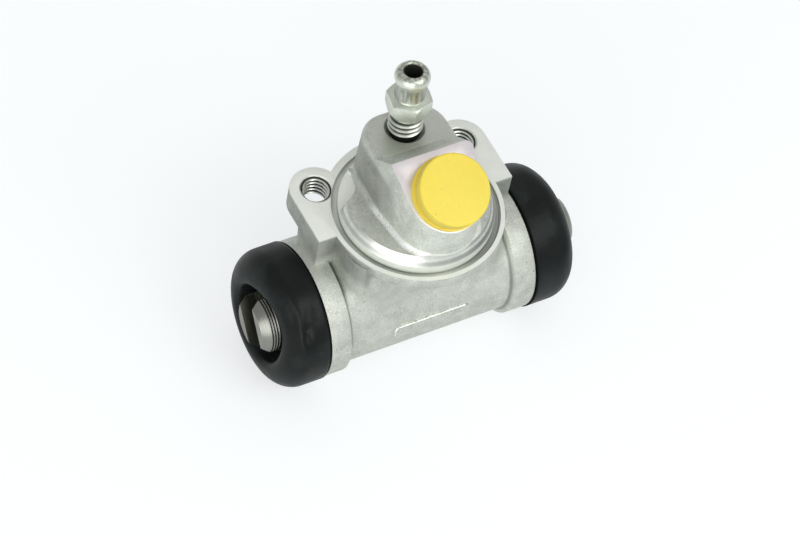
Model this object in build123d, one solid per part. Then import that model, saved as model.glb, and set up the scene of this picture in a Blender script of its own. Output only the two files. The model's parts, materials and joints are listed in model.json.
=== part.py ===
from build123d import *
import os
from math import cos, radians, sin, sqrt, tan

# Drum brake wheel cylinder, double acting, in millimetres.
# Origin: pilot axis on the machined mounting face. +Z points out of that face
# through the backing plate, and X runs along the cylinder bore.

# Cylinder bore and barrel
BORE_DIAMETER = 17.46
BORE_DROP = 22.0
BARREL_DIAMETER = 25.4
COLLAR_DIAMETER = 28.0
COLLAR_WIDTH = 4.3
COLLAR_STEP_WIDTH = 0.6
SHOULDER_TO_SHOULDER = 45.6
BORE_MOUTH_CHAMFER = 0.6

# Stub at each end of the barrel that the dust boot grips
STUB_LENGTH = 3.4
STUB_DIAMETER = 24.2
STUB_EDGE_CHAMFER = 0.4
BOOT_GROOVE_DEPTH = 0.9
BOOT_GROOVE_WIDTH = 1.4
BOOT_GROOVE_OFFSET = 0.8

# Mounting flange with its two tapped ears
HOLE_SPACING = 32.2
HOLE_OFFSET_Y = 11.4
EAR_RADIUS = 5.3
EAR_THICKNESS = 5.0
EAR_FRONT_Y = -0.3
EAR_NECK_DEPTH = 6.5
EAR_NECK_TAPER = 2.0
THREAD_MAJOR_DIAMETER = 6.0
THREAD_MOUTH_CHAMFER = 0.35
FLANGE_BACK_RADIUS = 18.2

# Round pad, relief groove and pilot, all turned about Z
PAD_DIAMETER = 35.2
PAD_RIM_WIDTH = 0.9
PAD_THICKNESS = 2.6
PILOT_DIAMETER = 30.8
GROOVE_DEPTH = 0.9
PILOT_LAND_HEIGHT = 1.2
SPIGOT_HEIGHT = 3.2
SPIGOT_CHAMFER_WIDTH = 1.2

# Neck between the pad and the barrel, under the pad's overhang
NECK_LENGTH = 34.4
NECK_DEPTH = 21.0
NECK_CORNER_RADIUS = 6.0
NECK_BLEND_RADIUS = 4.0

# Cast block that carries the bleed screw and the pipe port. Its foot is drawn on
# the mounting face, and its crown, smaller by the draft, at the crown height.
BLOCK_WIDTH = 18.4
BLOCK_NOSE_Y = -14.8
BLOCK_KNEE_Y = -0.5
BLOCK_REAR_Y = 14.6
BLOCK_SIDE_TAPER = 7.5
BLOCK_DRAFT = 0.6
BLOCK_CROWN_HEIGHT = 22.8
BLOCK_CROWN_SHIFT_X = 0.4
RAMP_RUN = 4.0
REAR_CORNER_RADIUS = 6.0
SHOULDER_RADIUS = 1.8
FOOT_FILLET = 1.3
FOOT_TURNING_MARGIN = 0.5
HEAD_CLEARANCE_RADIUS = 7.5
HEAD_SEAT_HEIGHT = 0.6

# Bleed screw drilling, square to the tilted rear top
BLEED_Y = 9.0
BLEED_FACE_HEIGHT = 14.5
BLEED_TILT = 3.8
BLEED_THREAD_CORE_DIAMETER = 6.0
BLEED_MOUTH_DIAMETER = 8.1
BLEED_HOLE_DEPTH = 12.0
BLEED_SEAT_ANGLE = 90.0
BLEED_PASSAGE_DIAMETER = 2.0

# Pipe port
PORT_X = 0.5
PORT_Y = -8.1
PORT_HEIGHT = 14.1
PORT_TILT = 28.0
PORT_FACE_REACH = 8.7
PORT_BORE_DIAMETER = 8.7
PORT_BORE_DEPTH = 9.0
PORT_MOUTH_CHAMFER = 0.5
PORT_PASSAGE_DIAMETER = 3.0
PORT_TIP_ANGLE = 118.0

# Cast bar on the front of the barrel
BAR_LENGTH = 16.8
BAR_HEIGHT = 2.9
BAR_PROUD = 0.45
BAR_ANGLE = 85.5
BAR_CORNER_RADIUS = 1.2
BAR_EDGE_RADIUS = 0.4

# Pistons, as they stand in the photograph
PISTON_CLEARANCE = 0.03
PISTON_LAND_LENGTH = 12.0
PISTON_STEM_DIAMETER = 12.4
PISTON_NECK_DIAMETER = 10.6
PISTON_NECK_WIDTH = 1.6
PISTON_NECK_SETBACK = 5.0
PISTON_STEM_LENGTH = 9.4
PISTON_TIP_CHAMFER = 1.75
PISTON_TIP_INSET = 1.25
PISTON_INNER_CHAMFER = 0.5
SLOT_WIDTH = 5.8
SLOT_DEPTH = 4.4
LEFT_TIP_X = 33.6
RIGHT_TIP_X = 36.6
LEFT_SLOT_TURN = 49.0
RIGHT_SLOT_TURN = 34.0
TURNED_RING_COUNT = 3
TURNED_RING_PITCH = 0.56
TURNED_RING_DEPTH = 0.2

# Cup seals and their expanders
CUP_CLEARANCE = 0.05
CUP_LENGTH = 4.2
CUP_BASE_THICKNESS = 1.8
CUP_LIP_THICKNESS = 1.1
EXPANDER_THICKNESS = 0.5
EXPANDER_CLEARANCE = 0.15
EXPANDER_SKIRT_LENGTH = 1.6
EXPANDER_HUB_DIAMETER = 6.4
EXPANDER_HUB_LENGTH = 1.8

# Return spring
SPRING_WIRE_DIAMETER = 0.9
SPRING_HUB_CLEARANCE = 0.2
SPRING_TURNS = 4.5
SPRING_SEAT_GAP = 0.05

# Dust boots
BOOT_DIAMETER = 28.5
BOOT_WALL = 1.6
LEFT_BOOT_FRONT_X = 32.6
RIGHT_BOOT_FRONT_X = 33.3
BOOT_SHOULDER_GAP = 0.15
BOOT_ROLL_RADIUS = 5.0
BOOT_FOLD_RADIUS = 1.3
BOOT_LIP_CLEARANCE = 0.1
BOOT_LIP_LENGTH = 1.3
BOOT_STUB_CLEARANCE = 0.05

# Bleed screw above its seat
SCREW_CORE_CLEARANCE = 0.05
SCREW_HEX_START = 4.6
SCREW_HEX_FLATS = 8.0
SCREW_HEX_HEIGHT = 4.9
SCREW_HEX_TOP_CHAMFER = 0.75
SCREW_HEX_TOP_SLOPE = 30.0
SCREW_HEX_FOOT_CHAMFER = 1.3
SCREW_HEX_FOOT_SLOPE = 60.0
SCREW_HEX_TURN = 20.0
SCREW_NECK_DIAMETER = 6.0
SCREW_LENGTH = 16.3
SCREW_BEAD_DIAMETER = 7.0
SCREW_BEAD_HEIGHT = 2.9
SCREW_BEAD_WIDEST = 1.2
SCREW_TIP_DIAMETER = 4.7
SCREW_BORE_DIAMETER = 3.6
SCREW_COUNTERSINK_DIAMETER = 4.1
SCREW_CROSS_HOLE_DIAMETER = 1.6
SCREW_SEAT_CLEARANCE = 0.05

# Transit plug in the port
PLUG_FLANGE_DIAMETER = 14.9
PLUG_FLANGE_THICKNESS = 0.9
PLUG_NECK_DIAMETER = 13.0
PLUG_NECK_HEIGHT = 0.7
PLUG_HEAD_DIAMETER = 14.4
PLUG_HEAD_HEIGHT = 2.6
PLUG_HEAD_EDGE_RADIUS = 0.4
PLUG_STEM_CLEARANCE = 0.05
PLUG_STEM_LENGTH = 6.0
PLUG_WALL = 1.2
PLUG_SEAT_GAP = 0.05

# How near an edge lies to a level to count as on it, and how far cuts overshoot
LEVEL_TOLERANCE = 0.1
CUT_OVERSHOOT = 1.0

# Sizes that follow from those above
SHOULDER_X = SHOULDER_TO_SHOULDER / 2
COLLAR_INNER_X = SHOULDER_X - COLLAR_WIDTH
BODY_END_X = SHOULDER_X + STUB_LENGTH
HOLE_X = HOLE_SPACING / 2
EAR_OUTER_X = HOLE_X + EAR_RADIUS
BORE_RADIUS = BORE_DIAMETER / 2
BARREL_RADIUS = BARREL_DIAMETER / 2
COLLAR_RADIUS = COLLAR_DIAMETER / 2
STUB_RADIUS = STUB_DIAMETER / 2
PAD_RADIUS = PAD_DIAMETER / 2
PILOT_RADIUS = PILOT_DIAMETER / 2
RIDGE_Y = PORT_Y + PORT_FACE_REACH * cos(radians(PORT_TILT))
RIDGE_HEIGHT = PORT_HEIGHT + PORT_FACE_REACH * sin(radians(PORT_TILT))
PISTON_RADIUS = BORE_RADIUS - PISTON_CLEARANCE
STEM_RADIUS = PISTON_STEM_DIAMETER / 2
PISTON_LENGTH = PISTON_LAND_LENGTH + PISTON_STEM_LENGTH
CUP_RADIUS = BORE_RADIUS - CUP_CLEARANCE


def bleed_plane():
    """Plane of the block's rear top: its normal is the bleed screw's axis."""
    tilt = radians(BLEED_TILT)
    return Plane(origin=(0, BLEED_Y, BLEED_FACE_HEIGHT), x_dir=(1, 0, 0), z_dir=(0, sin(tilt), cos(tilt)))


def port_plane():
    """Plane of the machined port face: its normal is the port's axis."""
    tilt = radians(PORT_TILT)
    return Plane(origin=(PORT_X, PORT_Y, PORT_HEIGHT), x_dir=(1, 0, 0), z_dir=(0, -sin(tilt), cos(tilt)))


def turned(points):
    """Solid turned about +Z from a closed (radius, height) outline."""
    return revolve(Plane.XZ * make_face(Polyline(points, close=True)), Axis.Z)


def along_bore(solid, side, x):
    """Lay a solid turned about Z on the bore axis, its +Z towards that side's end."""
    plane = Plane(origin=(side * x, 0, -BORE_DROP), x_dir=(0, 1, 0), z_dir=(side, 0, 0))
    return plane * solid


def barrel():
    """Barrel with collars and boot stubs, turned about the bore axis."""
    groove_start = SHOULDER_X + BOOT_GROOVE_OFFSET
    groove_end = groove_start + BOOT_GROOVE_WIDTH
    groove_radius = STUB_RADIUS - BOOT_GROOVE_DEPTH
    half = [
        (BARREL_RADIUS, COLLAR_INNER_X - COLLAR_STEP_WIDTH),
        (COLLAR_RADIUS, COLLAR_INNER_X),
        (COLLAR_RADIUS, SHOULDER_X),
        (STUB_RADIUS, SHOULDER_X),
        (STUB_RADIUS, groove_start),
        (groove_radius, groove_start),
        (groove_radius, groove_end),
        (STUB_RADIUS, groove_end),
        (STUB_RADIUS, BODY_END_X - STUB_EDGE_CHAMFER),
        (STUB_RADIUS - STUB_EDGE_CHAMFER, BODY_END_X),
    ]
    mirrored = [(radius, -x) for radius, x in reversed(half)]
    outline = [(0, -BODY_END_X)] + mirrored + half + [(0, BODY_END_X)]
    return along_bore(turned(outline), 1, 0)


def flange():
    """Ear plate: two round ears blended into the arc behind the pilot."""
    ear = Circle(EAR_RADIUS) + Pos(0, -(HOLE_OFFSET_Y - EAR_FRONT_Y) / 2) * Rectangle(
        2 * EAR_RADIUS, HOLE_OFFSET_Y - EAR_FRONT_Y
    )
    front = Pos(0, EAR_FRONT_Y - FLANGE_BACK_RADIUS) * Rectangle(
        2 * FLANGE_BACK_RADIUS, 2 * FLANGE_BACK_RADIUS
    )
    outline = Circle(FLANGE_BACK_RADIUS) - front
    for side in (-1, 1):
        outline += Pos(side * HOLE_X, HOLE_OFFSET_Y) * ear
    return extrude(outline, amount=-EAR_THICKNESS)


def ear_neck(side):
    """Web below an ear that runs down into the collar."""
    width = EAR_OUTER_X - PAD_RADIUS + EAR_RADIUS
    centre_x = side * (EAR_OUTER_X - width / 2)
    top = Plane.XY * Pos(centre_x, EAR_FRONT_Y + (EAR_NECK_DEPTH + EAR_NECK_TAPER) / 2) * Rectangle(
        width, EAR_NECK_DEPTH + EAR_NECK_TAPER
    )
    foot = Plane.XY.offset(-BORE_DROP + BARREL_RADIUS / 2) * Pos(
        centre_x, EAR_FRONT_Y + EAR_NECK_DEPTH / 2
    ) * Rectangle(width, EAR_NECK_DEPTH)
    return loft([foot, top])


def is_neck_root(edge):
    """Edge where the neck's wall runs into the barrel."""
    box = edge.bounding_box()
    return box.min.Z > -BORE_DROP + LEVEL_TOLERANCE and box.max.Z < -BORE_DROP + BARREL_RADIUS


def necked_barrel():
    """Barrel with the neck that carries the pad, blended where they meet."""
    section = RectangleRounded(NECK_LENGTH, NECK_DEPTH, NECK_CORNER_RADIUS)
    neck = Plane.XY.offset(-BORE_DROP) * extrude(section, amount=BORE_DROP - PAD_THICKNESS / 2)
    casting = barrel() + neck
    return fillet(casting.edges().filter_by(is_neck_root), NECK_BLEND_RADIUS)


def pad():
    """Round pad that overhangs the barrel in front."""
    return Pos(0, 0, -PAD_THICKNESS / 2) * Cylinder(PAD_RADIUS, PAD_THICKNESS)


def relief_groove():
    """Groove turned between the pad's rim and the pilot."""
    outline = [
        (PILOT_RADIUS, -GROOVE_DEPTH),
        (PAD_RADIUS - PAD_RIM_WIDTH, -GROOVE_DEPTH),
        (PAD_RADIUS - PAD_RIM_WIDTH, 0),
        (PAD_RADIUS - PAD_RIM_WIDTH, SPIGOT_HEIGHT),
        (PILOT_RADIUS, SPIGOT_HEIGHT),
    ]
    return turned(outline)


def tongue(half_width):
    """Outline with round rear corners, straight sides and a tapered, round nose."""
    taper = radians(BLOCK_SIDE_TAPER)
    reach = BLOCK_KNEE_Y - BLOCK_NOSE_Y
    nose = (half_width - reach * tan(taper)) / (cos(taper) - tan(taper) + sin(taper) * tan(taper))
    tangent_x = nose * cos(taper)
    tangent_y = BLOCK_NOSE_Y + nose - nose * sin(taper)
    corner_x = half_width - REAR_CORNER_RADIUS
    corner_y = BLOCK_REAR_Y - REAR_CORNER_RADIUS
    diagonal = REAR_CORNER_RADIUS * sqrt(0.5)
    outline = ThreePointArc((-tangent_x, tangent_y), (0, BLOCK_NOSE_Y), (tangent_x, tangent_y))
    outline += Line((-corner_x, BLOCK_REAR_Y), (corner_x, BLOCK_REAR_Y))
    for side in (-1, 1):
        outline += Polyline(
            (side * tangent_x, tangent_y), (side * half_width, BLOCK_KNEE_Y), (side * half_width, corner_y)
        )
        outline += ThreePointArc(
            (side * half_width, corner_y),
            (side * (corner_x + diagonal), corner_y + diagonal),
            (side * corner_x, BLOCK_REAR_Y),
        )
    return make_face(outline)


def rear_top(y):
    """Height of the block's rear top, which is square to the bleed screw."""
    return BLEED_FACE_HEIGHT - (y - BLEED_Y) * tan(radians(BLEED_TILT))


def roof_cut():
    """All that lies above the port face, the ramp behind it and the rear top."""
    front_y = -2 * PAD_RADIUS
    front_z = PORT_HEIGHT + (front_y - PORT_Y) * tan(radians(PORT_TILT))
    valley_y = RIDGE_Y + RAMP_RUN
    rear_y = 2 * PAD_RADIUS
    above = 2 * BLOCK_CROWN_HEIGHT
    outline = Polyline(
        (0, front_y, front_z),
        (0, RIDGE_Y, RIDGE_HEIGHT),
        (0, valley_y, rear_top(valley_y)),
        (0, rear_y, rear_top(rear_y)),
        (0, rear_y, above),
        (0, front_y, above),
        close=True,
    )
    return extrude(make_face(outline), amount=PAD_RADIUS, both=True)


def is_shoulder(edge):
    """Edge round the block's rear top, up the ramp on the right side only."""
    box = edge.bounding_box()
    too_low = box.min.Z < rear_top(BLOCK_REAR_Y) - LEVEL_TOLERANCE
    if too_low or edge.center().Y < RIDGE_Y + LEVEL_TOLERANCE:
        return False
    runs_across = box.size.Y < LEVEL_TOLERANCE and edge.center().Y < BLEED_Y
    climbs_left = box.size.Z > RAMP_RUN / 2 and edge.center().X < 0
    return not runs_across and not climbs_left


def port_block():
    """Lofted block, its roof cut by the port face and a ramp, its rear top rounded."""
    foot = tongue(BLOCK_WIDTH / 2)
    crown = Pos(BLOCK_CROWN_SHIFT_X, 0, BLOCK_CROWN_HEIGHT) * tongue(BLOCK_WIDTH / 2 - BLOCK_DRAFT)
    block = loft([foot, crown], ruled=True) - roof_cut()
    return fillet(block.edges().filter_by(is_shoulder), SHOULDER_RADIUS)


def turned_outside():
    """Envelope that the lathe leaves: pilot, chamfer and the pilot's clearance above."""
    chamfer_radius = PILOT_RADIUS - SPIGOT_CHAMFER_WIDTH
    turned_top = SPIGOT_HEIGHT + FOOT_FILLET + FOOT_TURNING_MARGIN
    outline = [
        (0, -GROOVE_DEPTH),
        (PILOT_RADIUS, -GROOVE_DEPTH),
        (PILOT_RADIUS, PILOT_LAND_HEIGHT),
        (chamfer_radius, SPIGOT_HEIGHT),
        (chamfer_radius, turned_top),
        (PILOT_RADIUS, turned_top),
        (PILOT_RADIUS, BLOCK_CROWN_HEIGHT),
        (0, BLOCK_CROWN_HEIGHT),
    ]
    return turned(outline)


def spigot():
    """Pilot slab with the block on it, filleted at the foot and turned outside.

    The slab starts wide, so that the whole foot can be filleted before it is turned.
    """
    slab_radius = PAD_RADIUS + 2 * FOOT_FILLET
    slab_height = SPIGOT_HEIGHT + GROOVE_DEPTH
    slab = Pos(0, 0, SPIGOT_HEIGHT - slab_height / 2) * Cylinder(slab_radius, slab_height)
    block = port_block()
    casting = slab + block
    foot = [
        edge
        for edge in casting.edges().filter_by_position(Axis.Z, SPIGOT_HEIGHT, SPIGOT_HEIGHT)
        if edge.bounding_box().max.Y < slab_radius - FOOT_FILLET
    ]
    casting = fillet(foot, FOOT_FILLET) & turned_outside()
    turned_height = FOOT_FILLET + FOOT_TURNING_MARGIN
    standing = block & Pos(0, 0, SPIGOT_HEIGHT + turned_height / 2) * Cylinder(PILOT_RADIUS, turned_height)
    return casting + standing


def cast_bar():
    """Shallow raised bar on the front of the barrel."""
    angle = radians(BAR_ANGLE)
    outward = (0, -sin(angle), cos(angle))
    centre_z = -BORE_DROP + BARREL_RADIUS * cos(angle)
    plane = Plane(origin=(0, -BARREL_RADIUS * sin(angle), centre_z), x_dir=(1, 0, 0), z_dir=outward)
    depth = BARREL_RADIUS / 2
    bar = Pos(0, 0, BAR_PROUD - depth / 2) * Box(BAR_LENGTH, BAR_HEIGHT, depth)
    bar = fillet(bar.edges().filter_by(Axis.Z), BAR_CORNER_RADIUS)
    bar = fillet(bar.faces().sort_by(Axis.Z)[-1].edges(), BAR_EDGE_RADIUS)
    return plane * bar


def head_clearance(side):
    """Round clearance cut beside a bolt hole so that a washer can seat."""
    cut = Cylinder(HEAD_CLEARANCE_RADIUS, BLOCK_CROWN_HEIGHT, align=(Align.CENTER, Align.CENTER, Align.MIN))
    return Pos(side * HOLE_X, HOLE_OFFSET_Y, HEAD_SEAT_HEIGHT) * cut


def drillings():
    """Bore, tapped holes, bleed hole, port and the two fluid passages."""
    bore_outline = [
        (0, -BODY_END_X),
        (BORE_RADIUS + BORE_MOUTH_CHAMFER, -BODY_END_X),
        (BORE_RADIUS, -BODY_END_X + BORE_MOUTH_CHAMFER),
        (BORE_RADIUS, BODY_END_X - BORE_MOUTH_CHAMFER),
        (BORE_RADIUS + BORE_MOUTH_CHAMFER, BODY_END_X),
        (0, BODY_END_X),
    ]
    cuts = [along_bore(turned(bore_outline), 1, 0)]

    thread_radius = THREAD_MAJOR_DIAMETER / 2
    hole_outline = [
        (0, -EAR_THICKNESS),
        (thread_radius, -EAR_THICKNESS),
        (thread_radius, -THREAD_MOUTH_CHAMFER),
        (thread_radius + THREAD_MOUTH_CHAMFER, 0),
        (0, 0),
    ]
    for side in (-1, 1):
        cuts.append(Pos(side * HOLE_X, HOLE_OFFSET_Y) * turned(hole_outline))

    core = BLEED_THREAD_CORE_DIAMETER / 2 + SCREW_CORE_CLEARANCE
    mouth = BLEED_MOUTH_DIAMETER / 2
    passage = BLEED_PASSAGE_DIAMETER / 2
    seat_depth = (core - passage) / tan(radians(BLEED_SEAT_ANGLE / 2))
    bleed_outline = [
        (0, -BORE_DROP - BLEED_FACE_HEIGHT + BORE_RADIUS),
        (passage, -BORE_DROP - BLEED_FACE_HEIGHT + BORE_RADIUS),
        (passage, -BLEED_HOLE_DEPTH - seat_depth),
        (core, -BLEED_HOLE_DEPTH),
        (core, core - mouth),
        (mouth, 0),
        (mouth, CUT_OVERSHOOT),
        (0, CUT_OVERSHOOT),
    ]
    cuts.append(bleed_plane() * turned(bleed_outline))

    port_radius = PORT_BORE_DIAMETER / 2
    port_passage = PORT_PASSAGE_DIAMETER / 2
    tip_depth = (port_radius - port_passage) / tan(radians(PORT_TIP_ANGLE / 2))
    reach = (BORE_DROP + PORT_HEIGHT - BORE_RADIUS) / cos(radians(PORT_TILT)) + BORE_RADIUS / 4
    port_outline = [
        (0, -reach),
        (port_passage, -reach),
        (port_passage, -PORT_BORE_DEPTH - tip_depth),
        (port_radius, -PORT_BORE_DEPTH),
        (port_radius, -PORT_MOUTH_CHAMFER),
        (port_radius + PORT_MOUTH_CHAMFER, 0),
        (0, 0),
    ]
    cuts.append(port_plane() * turned(port_outline))
    return cuts


def cylinder_body():
    """One aluminium casting, machined on its faces and bores."""
    lower = necked_barrel() + pad() + flange() + ear_neck(-1) + ear_neck(1) + cast_bar()
    lower -= relief_groove()
    top = spigot()
    for side in (-1, 1):
        top -= head_clearance(side)
    body = lower + top
    for cut in drillings():
        body -= cut
    return body


def piston(side, tip_x, slot_turn):
    """Slotted piston: guide land, boot groove and stem with fine turned rings."""
    neck_end = PISTON_LENGTH - PISTON_NECK_SETBACK
    neck_start = neck_end - PISTON_NECK_WIDTH
    outline = [
        (0, 0),
        (PISTON_RADIUS - PISTON_INNER_CHAMFER, 0),
        (PISTON_RADIUS, PISTON_INNER_CHAMFER),
        (PISTON_RADIUS, PISTON_LAND_LENGTH - PISTON_INNER_CHAMFER),
        (PISTON_RADIUS - PISTON_INNER_CHAMFER, PISTON_LAND_LENGTH),
        (STEM_RADIUS, PISTON_LAND_LENGTH),
        (STEM_RADIUS, neck_start),
        (PISTON_NECK_DIAMETER / 2, neck_start),
        (PISTON_NECK_DIAMETER / 2, neck_end),
        (STEM_RADIUS, neck_end),
    ]
    ring_start = PISTON_LENGTH - PISTON_TIP_CHAMFER - TURNED_RING_COUNT * TURNED_RING_PITCH
    for ring in range(TURNED_RING_COUNT):
        z = ring_start + ring * TURNED_RING_PITCH
        outline.append((STEM_RADIUS, z))
        outline.append((STEM_RADIUS - TURNED_RING_DEPTH, z + TURNED_RING_PITCH / 4))
        outline.append((STEM_RADIUS, z + TURNED_RING_PITCH / 2))
    outline += [
        (STEM_RADIUS, PISTON_LENGTH - PISTON_TIP_CHAMFER),
        (STEM_RADIUS - PISTON_TIP_INSET, PISTON_LENGTH),
        (0, PISTON_LENGTH),
    ]
    solid = along_bore(turned(outline), side, tip_x - PISTON_LENGTH)
    slot = Rot(slot_turn, 0, 0) * Box(SLOT_DEPTH, 4 * STEM_RADIUS, SLOT_WIDTH)
    return solid - Pos(side * (tip_x - SLOT_DEPTH / 2), 0, -BORE_DROP) * slot


def cup_seal(side, tip_x):
    """Rubber cup with its lips towards the fluid."""
    base = CUP_BASE_THICKNESS
    inner = CUP_RADIUS - CUP_LIP_THICKNESS
    outline = [
        (0, 0),
        (CUP_RADIUS - CUP_LIP_THICKNESS / 2, 0),
        (CUP_RADIUS - CUP_LIP_THICKNESS / 4, -base),
        (CUP_RADIUS, -CUP_LENGTH),
        (CUP_RADIUS - CUP_LIP_THICKNESS / 2, -CUP_LENGTH),
        (inner - CUP_LIP_THICKNESS / 4, -base),
        (0, -base),
    ]
    return along_bore(turned(outline), side, tip_x - PISTON_LENGTH)


def cup_expander(side, tip_x):
    """Pressed seat that centres the spring and holds the cup's lips out."""
    face = -CUP_BASE_THICKNESS
    sheet = EXPANDER_THICKNESS
    rim = CUP_RADIUS - CUP_LIP_THICKNESS - CUP_LIP_THICKNESS / 4 - EXPANDER_CLEARANCE
    hub = EXPANDER_HUB_DIAMETER / 2
    outline = [
        (0, face - sheet - EXPANDER_HUB_LENGTH),
        (0, face - EXPANDER_HUB_LENGTH),
        (hub - sheet, face - EXPANDER_HUB_LENGTH),
        (hub - sheet, face),
        (rim, face),
        (rim, face - EXPANDER_SKIRT_LENGTH),
        (rim - sheet, face - EXPANDER_SKIRT_LENGTH),
        (rim - sheet, face - sheet),
        (hub, face - sheet),
        (hub, face - sheet - EXPANDER_HUB_LENGTH),
    ]
    return along_bore(turned(outline), side, tip_x - PISTON_LENGTH)


def return_spring():
    """Light compression spring between the two expanders."""
    wire = SPRING_WIRE_DIAMETER / 2
    coil = EXPANDER_HUB_DIAMETER / 2 + SPRING_HUB_CLEARANCE + wire
    seat_inset = PISTON_LENGTH + CUP_BASE_THICKNESS + EXPANDER_THICKNESS + SPRING_SEAT_GAP
    left_end = -(LEFT_TIP_X - seat_inset) + wire
    right_end = RIGHT_TIP_X - seat_inset - wire
    length = right_end - left_end
    path = Helix(pitch=length / SPRING_TURNS, height=length, radius=coil)
    start = Plane(origin=path @ 0, z_dir=path % 0)
    helix = sweep(start * Circle(wire), path=path, is_frenet=True)
    return Plane(origin=(left_end, 0, -BORE_DROP), x_dir=(0, 1, 0), z_dir=(1, 0, 0)) * helix


def dust_boot(side, tip_x, front_x):
    """Moulded boot: bead in the stub's groove, skirt, rolled front and lip."""
    outer = BOOT_DIAMETER / 2
    start = SHOULDER_X + BOOT_SHOULDER_GAP
    seat = STUB_RADIUS + BOOT_STUB_CLEARANCE
    bead_start = SHOULDER_X + BOOT_GROOVE_OFFSET + BOOT_STUB_CLEARANCE
    bead_end = bead_start + BOOT_GROOVE_WIDTH - 2 * BOOT_STUB_CLEARANCE
    bead = STUB_RADIUS - BOOT_GROOVE_DEPTH + BOOT_STUB_CLEARANCE
    seat_end = BODY_END_X + BOOT_STUB_CLEARANCE
    roll = BOOT_ROLL_RADIUS
    diagonal = roll * (1 - sqrt(0.5))
    lip = PISTON_NECK_DIAMETER / 2 + BOOT_LIP_CLEARANCE
    lip_centre = tip_x - PISTON_NECK_SETBACK - PISTON_NECK_WIDTH / 2
    lip_start = lip_centre - BOOT_LIP_LENGTH / 2
    lip_end = lip_centre + BOOT_LIP_LENGTH / 2
    fold = BOOT_FOLD_RADIUS
    fold_diagonal = fold * (1 - sqrt(0.5))
    crest = outer - roll
    mouth = crest - fold
    inner_front = front_x - BOOT_WALL
    stem_gap = STEM_RADIUS + BOOT_WALL / 2
    outside = Polyline((start, outer), (front_x - roll, outer))
    front = ThreePointArc(
        (front_x - roll, outer), (front_x - diagonal, outer - diagonal), (front_x, crest)
    )
    turn_in = ThreePointArc(
        (front_x, crest), (front_x - fold_diagonal, crest - fold + fold_diagonal), (front_x - fold, mouth)
    )
    funnel = Polyline(
        (front_x - fold, mouth),
        (lip_end, stem_gap),
        (lip_end, lip),
        (lip_start, lip),
        (lip_start, stem_gap + BOOT_WALL / 3),
        (inner_front - fold, mouth + BOOT_WALL),
        (inner_front, crest),
    )
    inner_roll = roll - BOOT_WALL
    inner_outer = outer - BOOT_WALL
    inner_diagonal = inner_roll * (1 - sqrt(0.5))
    inside_front = ThreePointArc(
        (inner_front, crest),
        (inner_front - inner_diagonal, inner_outer - inner_diagonal),
        (inner_front - inner_roll, inner_outer),
    )
    inside = Polyline(
        (inner_front - inner_roll, inner_outer),
        (seat_end, inner_outer),
        (seat_end, seat),
        (bead_end, seat),
        (bead_end, bead),
        (bead_start, bead),
        (bead_start, seat),
        (start, seat),
        (start, outer),
    )
    section = make_face(outside + front + turn_in + funnel + inside_front + inside)
    ring = revolve(section, Axis.X)
    placed = Pos(0, 0, -BORE_DROP) * ring
    return placed if side > 0 else mirror(placed, about=Plane.YZ)


def hex_prism(flats, height, turn):
    """Hexagon of that width across flats, on Z, starting at zero."""
    return Rot(0, 0, turn) * extrude(RegularPolygon(flats / sqrt(3), 6), amount=height)


def bleed_screw():
    """Hollow bleed screw: seat cone, core, hexagon, neck and hose bead."""
    core = BLEED_THREAD_CORE_DIAMETER / 2
    passage = BLEED_PASSAGE_DIAMETER / 2
    bore = SCREW_BORE_DIAMETER / 2
    seat_shift = SCREW_SEAT_CLEARANCE * sqrt(2)
    shank_end = -BLEED_HOLE_DEPTH + seat_shift + SCREW_CORE_CLEARANCE
    cone_tip = shank_end - (core - passage) / tan(radians(BLEED_SEAT_ANGLE / 2))
    neck = SCREW_NECK_DIAMETER / 2
    hex_end = SCREW_HEX_START + SCREW_HEX_HEIGHT
    corner = SCREW_HEX_FLATS / sqrt(3)
    bead = SCREW_BEAD_DIAMETER / 2
    bead_start = SCREW_LENGTH - SCREW_BEAD_HEIGHT
    tip = SCREW_TIP_DIAMETER / 2
    shank = turned([(0, cone_tip), (passage, cone_tip), (core, shank_end), (core, hex_end), (0, hex_end)])
    hexagon = Pos(0, 0, SCREW_HEX_START) * hex_prism(SCREW_HEX_FLATS, SCREW_HEX_HEIGHT, SCREW_HEX_TURN)
    foot_rise = SCREW_HEX_FOOT_CHAMFER * tan(radians(SCREW_HEX_FOOT_SLOPE))
    top_fall = SCREW_HEX_TOP_CHAMFER * tan(radians(SCREW_HEX_TOP_SLOPE))
    envelope = turned(
        [
            (0, SCREW_HEX_START),
            (corner - SCREW_HEX_FOOT_CHAMFER, SCREW_HEX_START),
            (corner, SCREW_HEX_START + foot_rise),
            (corner, hex_end - top_fall),
            (corner - SCREW_HEX_TOP_CHAMFER, hex_end),
            (0, hex_end),
        ]
    )
    neck_foot = hex_end - SCREW_HEX_TOP_CHAMFER
    stem = Polyline((0, neck_foot), (neck, neck_foot), (neck, bead_start))
    dome = ThreePointArc((neck, bead_start), (bead, bead_start + SCREW_BEAD_WIDEST), (tip, SCREW_LENGTH))
    close = Polyline((tip, SCREW_LENGTH), (0, SCREW_LENGTH), (0, neck_foot))
    nipple = revolve(Plane.XZ * make_face(stem + dome + close), Axis.Z)
    screw = shank + (hexagon & envelope) + nipple
    cross_z = shank_end + SCREW_CROSS_HOLE_DIAMETER
    sink = SCREW_COUNTERSINK_DIAMETER / 2
    drilling = turned(
        [
            (0, cross_z),
            (bore, cross_z),
            (bore, SCREW_LENGTH - (sink - bore)),
            (sink, SCREW_LENGTH),
            (0, SCREW_LENGTH),
        ]
    )
    cross = Pos(0, 0, cross_z) * Rot(0, 90, 0) * Cylinder(SCREW_CROSS_HOLE_DIAMETER / 2, 2 * corner)
    return bleed_plane() * (screw - drilling - cross)


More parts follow.
